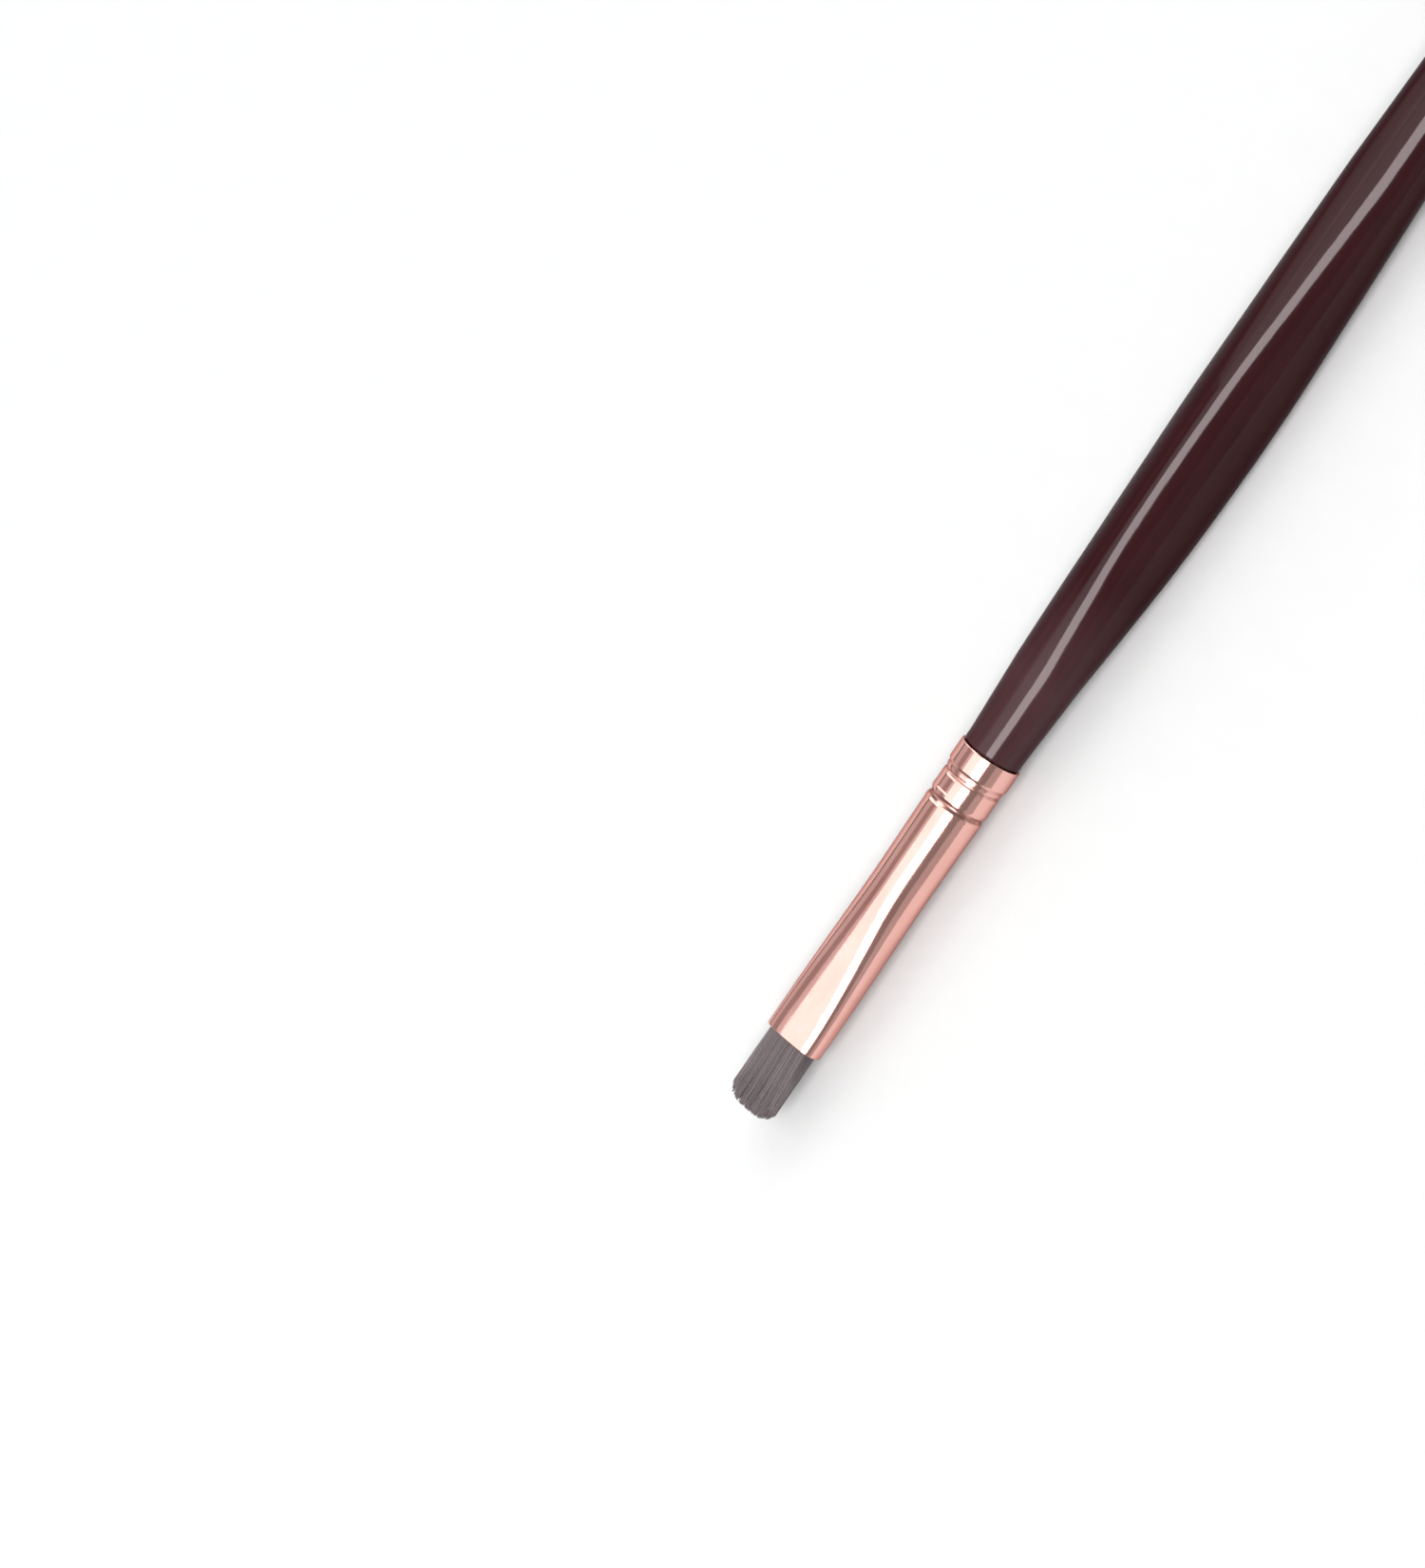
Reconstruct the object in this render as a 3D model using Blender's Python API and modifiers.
"""A small flat artist's brush, lying on its side.

The brush's axis runs along X, with the tuft's tip at -X and the handle's end at +X. The handle's
belly is softly three-sided, so that the brush doesn't roll. It lies on one of its flat sides, with a
ridge on top, at Z = 0, and the origin is under the middle of the brush. The flat faces of the
ferrule's mouth and of the tuft are level, so the tuft is wide along Y and thin along Z.
"""

import math

import bmesh
import bpy
from mathutils import Vector

MM = 0.001

# Driving dimensions, in millimetres.
LENGTH = 180.0
TUFT_LENGTH = 7.6
FERRULE_LENGTH = 31.2
BELLY_DIAMETER = 8.24
BELLY_RIDGE = 0.33
FERRULE_DIAMETER = 5.65
FERRULE_TAPER = 0.65
FERRULE_WALL = 0.27
LIP_DIAMETER = 5.98
MOUTH_WIDTH = 5.65
MOUTH_THICKNESS = 3.3
TUFT_TIP_WIDTH = 5.45
TUFT_TIP_THICKNESS = 0.65
TENON_LENGTH = 12.0
TENON_DIAMETER = 4.6
GAP = 0.04

# Places along the brush, in millimetres from its middle.
TIP_X = -LENGTH / 2
MOUTH_X = TIP_X + TUFT_LENGTH
SEAM_X = MOUTH_X + FERRULE_LENGTH
END_X = LENGTH / 2

# The handle's outline: distance from the seam and diameter. It swells from the neck to the belly,
# which is the widest place, and then tapers slowly to a rounded end.
HANDLE_OUTLINE = [
    (1.0, 5.62),
    (10.0, 6.54),
    (18.0, 7.33),
    (27.0, 7.95),
    (37.0, BELLY_DIAMETER),
    (47.0, 7.95),
    (62.0, 7.28),
    (90.0, 6.0),
    (115.0, 5.0),
    (139.8, 4.1),
]
# How three-sided the handle is: distance from the seam, and how far its three ridges stand out from
# its mean radius, which is as far as its three sides lie in. The neck and the rear are round.
HANDLE_RIDGES = [
    (12.0, 0.0),
    (20.0, BELLY_RIDGE / 2),
    (34.0, BELLY_RIDGE),
    (51.0, BELLY_RIDGE / 2),
    (61.0, BELLY_RIDGE / 4),
    (76.0, 0.0),
]
# The handle's rings are about HANDLE_STEP apart, but none lies between the two BELLY_FLATS distances
# from the seam. So the middle of each of the belly's three sides is one long flat, under the brush's
# balance point, and the brush lies still on the lowest of them. The number of points in a ring is a
# multiple of three, which makes the three sides alike.
HANDLE_STEP = 3.5
HANDLE_SIDES = 18
BELLY_FLATS = (23.4, 41.4)
SHOULDER_DIAMETER = 5.2
SHOULDER_LENGTH = 0.35
SHOULDER_CROWN = 0.08
END_FLAT_DIAMETER = 2.0
END_DOME_STEPS = 5
TENON_CHAMFER = 0.5

# The ferrule has a raised lip and two rolled rings that hold it on the tenon, each with its
# distance from the seam, depth and half width. Past them it tapers, and it is pressed flat from
# PRESS_START to its mouth.
LIP_LENGTH = 2.0
LIP_SLOPE = 0.35
CRIMPS = [(2.9, 0.07, 0.3), (5.4, 0.17, 0.42)]
TAPER_START = 6.0
PRESS_START = 13.0
PRESS_STEPS = 9
MOUTH_SQUARENESS = 3.0

ADHESIVE_START = 0.8
ADHESIVE_END = 11.0

# The hair roots, the waist that the thread pulls in round them, and the resin plug behind them.
ROOT_X = MOUTH_X + 9.0
ROOT_WAIST = 0.38
WAIST_REACH = 0.75
PLUG_LENGTH = 4.5
PLUG_STEPS = 3
THREAD_DIAMETER = 0.24
THREAD_TURNS = 3
THREAD_FROM_ROOT = 0.37

# The tuft is a grid of locks of hair. LOCK_CORNER is where a lock's corners are cut, from 0 at its
# middle to 1 at its edge, and LOCK_TIP is the share of its width that is left at its tip.
LOCKS_ACROSS = 7
LOCKS_DEEP = 3
LOCK_GAP = 0.035
LOCK_CORNER = 0.6
LOCK_TIP = 0.45
LOCK_STOPS_INSIDE = (0.0, 0.155, 0.78, 1.0)
LOCK_STOPS_OUTSIDE = (0.35, 0.7, 0.92, 1.0)
CORNER_CUT = 1.3

SLEEVE_SIDES = 24
FERRULE_SIDES = 48
THREAD_SIDES = 24
SHARP_ANGLE = math.radians(40)

COLLECTION = "detail_brush"


def clear_scene():
    for old in list(bpy.data.objects):
        bpy.data.objects.remove(old)
    collection = bpy.data.collections.new(COLLECTION)
    bpy.context.scene.collection.children.link(collection)
    return collection


def material(name, colour, roughness, metallic=0.0):
    """A Principled material; colour is linear red, green and blue."""
    made = bpy.data.materials.new(name)
    made.use_nodes = True
    shader = made.node_tree.nodes["Principled BSDF"]
    shader.inputs["Base Color"].default_value = (*colour, 1.0)
    shader.inputs["Roughness"].default_value = roughness
    shader.inputs["Metallic"].default_value = metallic
    return made


def place(name, mesh, collection, axis, finish):
    """Adds a mesh to the brush as the object `name`, on the brush's axis."""
    piece = bpy.data.objects.new(name, mesh)
    collection.objects.link(piece)
    piece.parent = axis
    mesh.materials.append(finish)
    return piece


def smooth_value(outline, at):
    """The value at `at` on a smooth curve through an outline's (place, value) points.

    The curve's slope at each point is the harmonic mean of the slopes on either side, so it never
    swings past the outline's own highest and lowest values.
    """
    pairs = list(zip(outline, outline[1:]))
    chords = [(v1 - v0) / (p1 - p0) for (p0, v0), (p1, v1) in pairs]
    slopes = [chords[0]]
    for before, after in zip(chords, chords[1:]):
        turns = before * after <= 0
        slopes.append(0.0 if turns else 2 * before * after / (before + after))
    slopes.append(chords[-1])
    i = max(k for k, ((start, _), _) in enumerate(pairs) if k == 0 or start <= at)
    (start, low), (stop, high) = pairs[i]
    span = stop - start
    t = (at - start) / span
    value = (2 * t**3 - 3 * t**2 + 1) * low + (3 * t**2 - 2 * t**3) * high
    return value + span * ((t**3 - 2 * t**2 + t) * slopes[i] + (t**3 - t**2) * slopes[i + 1])


def crimp_depth(from_seam):
    """How far the rolled rings press the ferrule in, at a distance from the seam."""
    depth = 0.0
    for centre, deepest, half_width in CRIMPS:
        off = abs(from_seam - centre) / half_width
        if off < 1.0:
            depth += deepest * (0.5 + 0.5 * math.cos(math.pi * off))
    return depth


def crimp_places():
    """Distances from the seam where a profile needs points to follow the rings."""
    return [centre + half_width * k / 2 for centre, _, half_width in CRIMPS for k in range(-2, 3)]


def tube_radius(from_seam):
    """The ferrule's outer radius where it is still round, with its taper and its rolled rings."""
    tapering = max(from_seam - TAPER_START, 0.0) / (FERRULE_LENGTH - TAPER_START)
    return (FERRULE_DIAMETER - FERRULE_TAPER * tapering) / 2 - crimp_depth(from_seam)


def oval(from_seam, inset):
    """Half width, half thickness and squareness of the ferrule's section, `inset` mm inside its surface."""
    t = (from_seam - PRESS_START) / (FERRULE_LENGTH - PRESS_START)
    t = min(max(t, 0.0), 1.0)
    pressed = t * t * (3 - 2 * t)
    radius = tube_radius(from_seam)
    mouth_radius = tube_radius(FERRULE_LENGTH)
    half_width = radius + pressed * (MOUTH_WIDTH / 2 - mouth_radius)
    half_thickness = radius + pressed * (MOUTH_THICKNESS / 2 - mouth_radius)
    return half_width - inset, half_thickness - inset, 2 + pressed * (MOUTH_SQUARENESS - 2)


def oval_point(half_width, half_thickness, squareness, angle):
    """A point (y, z) on a rounded flat section, which is an ellipse where squareness is 2."""
    power = 2 / squareness
    c, s = math.cos(angle), math.sin(angle)
    y = half_width * math.copysign(abs(c) ** power, c)
    z = half_thickness * math.copysign(abs(s) ** power, s)
    return y, z


def turned(name, outline, collection, axis, finish):
    """A hollow piece turned on the brush's axis from a closed outline of (x, radius) points in mm.

    The outline goes from +X to -X along the outer side and comes back along the inner side.
    """
    bm = bmesh.new()
    points = [bm.verts.new((radius * MM, 0.0, x * MM)) for x, radius in outline]
    for a, b in zip(points, points[1:] + points[:1]):
        bm.edges.new((a, b))
    mesh = bpy.data.meshes.new(name)
    bm.to_mesh(mesh)
    bm.free()
    piece = place(name, mesh, collection, axis, finish)
    piece.rotation_euler = (0.0, math.pi / 2, 0.0)
    screw = piece.modifiers.new("turn", "SCREW")
    screw.axis = "Z"
    screw.steps = SLEEVE_SIDES
    screw.render_steps = SLEEVE_SIDES
    screw.use_merge_vertices = True
    screw.merge_threshold = 1e-6
    screw.use_smooth_shade = True
    return piece


def loft(name, sections, collection, axis, finish, ring=False):
    """A closed piece through sections of (x, y, z) points in mm; a ring joins its last section to its first."""
    bm = bmesh.new()
    rows = [[bm.verts.new(Vector(p) * MM) for p in section] for section in sections]
    pairs = list(zip(rows, rows[1:]))
    if ring:
        pairs.append((rows[-1], rows[0]))
    for row, following in pairs:
        count = len(row)
        for i in range(count):
            j = (i + 1) % count
            bm.faces.new((row[i], following[i], following[j], row[j]))
    if not ring:
        bm.faces.new(rows[0])
        bm.faces.new(list(reversed(rows[-1])))
    bmesh.ops.recalc_face_normals(bm, faces=bm.faces)
    mesh = bpy.data.meshes.new(name)
    bm.to_mesh(mesh)
    bm.free()
    mesh.shade_smooth()
    mesh.set_sharp_from_angle(angle=SHARP_ANGLE)
    return place(name, mesh, collection, axis, finish)


def handle_section(x, radius, ridge=0.0):
    """One ring of points round the handle, with a ridge on top and a flat side underneath.

    The ring's distance from the axis, measured square to its surface, is the radius and the ridge
    times the cosine of three times the angle from the top. A point is that distance out along the
    surface's own direction and its rate of change sideways.
    """
    ring = []
    for i in range(HANDLE_SIDES):
        angle = 2 * math.pi * (i + 0.5) / HANDLE_SIDES
        out = radius + ridge * math.cos(3 * angle)
        sideways = -3 * ridge * math.sin(3 * angle)
        y = out * math.sin(angle) + sideways * math.cos(angle)
        z = out * math.cos(angle) - sideways * math.sin(angle)
        ring.append((x, y, z))
    return ring


def handle_stations():
    """Distances from the seam of the rings between the handle's rounded end and its neck."""
    (first, _), (last, _) = HANDLE_OUTLINE[0], HANDLE_OUTLINE[-1]
    stations = []
    for start, stop in ((last, BELLY_FLATS[1]), (BELLY_FLATS[0], first)):
        steps = round((start - stop) / HANDLE_STEP)
        stations += [start + (stop - start) * k / steps for k in range(steps + 1)]
    return stations


def handle_sections():
    """The handle from its end to the tenon's tip."""
    last, end_diameter = HANDLE_OUTLINE[-1]
    end_flat = END_FLAT_DIAMETER / 2
    corner = end_diameter / 2 - end_flat
    dome = END_X - SEAM_X - last
    sections = []
    for k in range(END_DOME_STEPS):
        angle = math.pi / 2 * k / END_DOME_STEPS
        x = END_X - dome * (1 - math.cos(angle))
        sections.append(handle_section(x, end_flat + corner * math.sin(angle)))
    for from_seam in handle_stations():
        radius = smooth_value(HANDLE_OUTLINE, from_seam) / 2
        shaped = HANDLE_RIDGES[0][0] < from_seam < HANDLE_RIDGES[-1][0]
        ridge = smooth_value(HANDLE_RIDGES, from_seam) if shaped else 0.0
        sections.append(handle_section(SEAM_X + from_seam, radius, ridge))
    neck = HANDLE_OUTLINE[0][1] / 2
    shoulder = SHOULDER_DIAMETER / 2
    tenon = TENON_DIAMETER / 2
    tenon_tip = SEAM_X - TENON_LENGTH
    sections.append(handle_section(SEAM_X + SHOULDER_LENGTH, (neck + shoulder) / 2 + SHOULDER_CROWN))
    sections.append(handle_section(SEAM_X + GAP, shoulder))
    sections.append(handle_section(SEAM_X + GAP, tenon))
    for from_seam in crimp_places():
        sections.append(handle_section(SEAM_X - from_seam, tenon - crimp_depth(from_seam)))
    sections.append(handle_section(tenon_tip + TENON_CHAMFER, tenon))
    sections.append(handle_section(tenon_tip, tenon - TENON_CHAMFER))
    return sections


def adhesive_outline():
    """A thin sleeve that fills the room between the tenon and the ferrule, as (x, radius)."""
    inner = TENON_DIAMETER / 2 + GAP
    stops = [ADHESIVE_START, *crimp_places(), TAPER_START, ADHESIVE_END]
    outside = [(SEAM_X - s, tube_radius(s) - FERRULE_WALL - GAP) for s in stops]
    inside = [(SEAM_X - s, inner - crimp_depth(s)) for s in reversed(stops)]
    return outside + inside


def ferrule_section(from_seam, inset, widened=0.0):
    """One ring of points round the ferrule, `inset` mm inside its plain surface."""
    half_width, half_thickness, squareness = oval(from_seam, inset - widened)
    ring = []
    for i in range(FERRULE_SIDES):
        y, z = oval_point(half_width, half_thickness, squareness, 2 * math.pi * i / FERRULE_SIDES)
        ring.append((SEAM_X - from_seam, y, z))
    return ring


def ferrule_sections():
    """The ferrule's wall: along its outside from the lip to the mouth, and back along its inside."""
    flare = (LIP_DIAMETER - FERRULE_DIAMETER) / 2
    rim = FERRULE_WALL / 4
    lip = [(0.0, flare - rim), (rim, flare), (LIP_LENGTH, flare), (LIP_LENGTH + LIP_SLOPE, 0.0)]
    pressed = FERRULE_LENGTH - PRESS_START
    press_stops = [PRESS_START + pressed * k / PRESS_STEPS for k in range(PRESS_STEPS)]
    plain = [*crimp_places(), TAPER_START, *press_stops]
    outside = [ferrule_section(s, 0.0, widened) for s, widened in lip]
    outside += [ferrule_section(s, 0.0) for s in plain]
    outside += [ferrule_section(FERRULE_LENGTH - rim, 0.0), ferrule_section(FERRULE_LENGTH, rim)]
    inside = [ferrule_section(FERRULE_LENGTH, FERRULE_WALL)]
    inside += [ferrule_section(s, FERRULE_WALL) for s in reversed(plain)]
    inside += [ferrule_section(0.0, FERRULE_WALL)]
    return outside + inside


def plug_sections():
    """The resin plug fills the ferrule's bore behind the hair roots."""
    sections = []
    for k in range(PLUG_STEPS + 1):
        x = ROOT_X + GAP + PLUG_LENGTH * k / PLUG_STEPS
        half_width, half_thickness, squareness = oval(SEAM_X - x, FERRULE_WALL + GAP)
        angles = [2 * math.pi * i / FERRULE_SIDES for i in range(FERRULE_SIDES)]
        section = [oval_point(half_width, half_thickness, squareness, a) for a in angles]
        sections.append([(x, y, z) for y, z in section])
    return sections


def tuft_outline(x):
    """Half width, half thickness and squareness of the tuft's section at x.

    The hair has a waist for the thread near its roots, fills the ferrule's mouth, and runs out to a
    chisel edge that is a little wider than the mouth.
    """
    half_width, half_thickness, squareness = oval(SEAM_X - x, FERRULE_WALL + GAP)
    if x > MOUTH_X:
        inside = min((x - MOUTH_X) / (ROOT_X - MOUTH_X) / WAIST_REACH, 1.0)
        waist = ROOT_WAIST * inside * inside * (3 - 2 * inside)
        return half_width - waist, half_thickness - waist, squareness
    out = (MOUTH_X - x) / TUFT_LENGTH
    half_width += (TUFT_TIP_WIDTH / 2 - half_width) * math.sin(out * math.pi / 2)
    half_thickness += (TUFT_TIP_THICKNESS / 2 - half_thickness) * out
    return half_width, half_thickness, squareness


def lock_shape():
    """A lock's section in its own square, from -1 to 1 each way: the square with its corners cut."""
    cut = LOCK_CORNER
    quarter = [(1, cut), (cut, 1)]
    shape = []
    for turn in range(4):
        shape += quarter
        quarter = [(-v, u) for u, v in quarter]
    return shape


def lock_sections(across, deep):
    """One lock of the tuft, from its root to its tip.

    The tuft's section is a square grid of locks pressed into an oval. Across and deep count the
    lock's place in the grid.
    """
    width, depth = 2 / LOCKS_ACROSS, 2 / LOCKS_DEEP
    u_middle = -1 + width * (across + 0.5)
    v_middle = -1 + depth * (deep + 0.5)
    tip_x = TIP_X + CORNER_CUT * u_middle**4
    root_x = ROOT_X - GAP
    stops = [root_x + (MOUTH_X - root_x) * k for k in LOCK_STOPS_INSIDE]
    stops += [MOUTH_X + (tip_x - MOUTH_X) * k for k in LOCK_STOPS_OUTSIDE]
    sections = []
    for x in stops:
        half_width, half_thickness, squareness = tuft_outline(x)
        # A square's edges pulled in by this much pass through the oval's own diagonal points.
        pinch = 1 - 0.25 ** (1 / squareness)
        size = LOCK_TIP if x == stops[-1] else 1.0
        section = []
        for shape_u, shape_v in lock_shape():
            u = u_middle + shape_u * size * (width / 2 - LOCK_GAP / half_width)
            v = v_middle + shape_v * size * (depth / 2 - LOCK_GAP / half_thickness)
            y = half_width * u * math.sqrt(1 - pinch * v * v)
            z = half_thickness * v * math.sqrt(1 - pinch * u * u)
            section.append((x, y, z))
        sections.append(section)
    return sections


def binding_thread(collection, axis, finish):
    """A few turns of thread round the waist of the hair, a little in front of the roots."""
    curve = bpy.data.curves.new("binding_thread", "CURVE")
    curve.dimensions = "3D"
    curve.bevel_depth = THREAD_DIAMETER / 2 * MM
    curve.bevel_resolution = 1
    curve.use_fill_caps = True
    spline = curve.splines.new("POLY")
    count = THREAD_TURNS * THREAD_SIDES + 1
    spline.points.add(count - 1)
    pitch = THREAD_DIAMETER + GAP
    for i, point in enumerate(spline.points):
        turns = i / THREAD_SIDES
        x = ROOT_X - THREAD_FROM_ROOT - turns * pitch
        half_width, half_thickness, squareness = tuft_outline(x)
        out = THREAD_DIAMETER / 2 + 2 * GAP
        y, z = oval_point(half_width + out, half_thickness + out, squareness, 2 * math.pi * turns)
        point.co = (x * MM, y * MM, z * MM, 1.0)
    piece = bpy.data.objects.new("binding_thread", curve)
    collection.objects.link(piece)
    piece.parent = axis
    curve.materials.append(finish)


def main():
    collection = clear_scene()
    lacquer = material("burgundy_lacquer", (0.035, 0.009, 0.012), 0.12)
    rose_gold = material("rose_gold", (0.86, 0.50, 0.41), 0.14, 1.0)
    hair = material("hair", (0.13, 0.11, 0.12), 0.5)
    glue = material("cured_adhesive", (0.62, 0.52, 0.33), 0.4)
    resin = material("cured_resin", (0.45, 0.27, 0.10), 0.25)
    thread = material("waxed_thread", (0.55, 0.50, 0.42), 0.8)

    handle = handle_sections()
    lowest = min(z for ring in handle for _, _, z in ring)
    axis = bpy.data.objects.new("brush_axis", None)
    axis.location = (0.0, 0.0, -lowest * MM)
    collection.objects.link(axis)

    loft("handle", handle, collection, axis, lacquer)
    turned("adhesive_sleeve", adhesive_outline(), collection, axis, glue)
    loft("ferrule", ferrule_sections(), collection, axis, rose_gold, ring=True)
    loft("resin_plug", plug_sections(), collection, axis, resin)
    binding_thread(collection, axis, thread)
    for across in range(LOCKS_ACROSS):
        for deep in range(LOCKS_DEEP):
            number = across * LOCKS_DEEP + deep + 1
            loft(f"hair_lock_{number:02d}", lock_sections(across, deep), collection, axis, hair)


main()
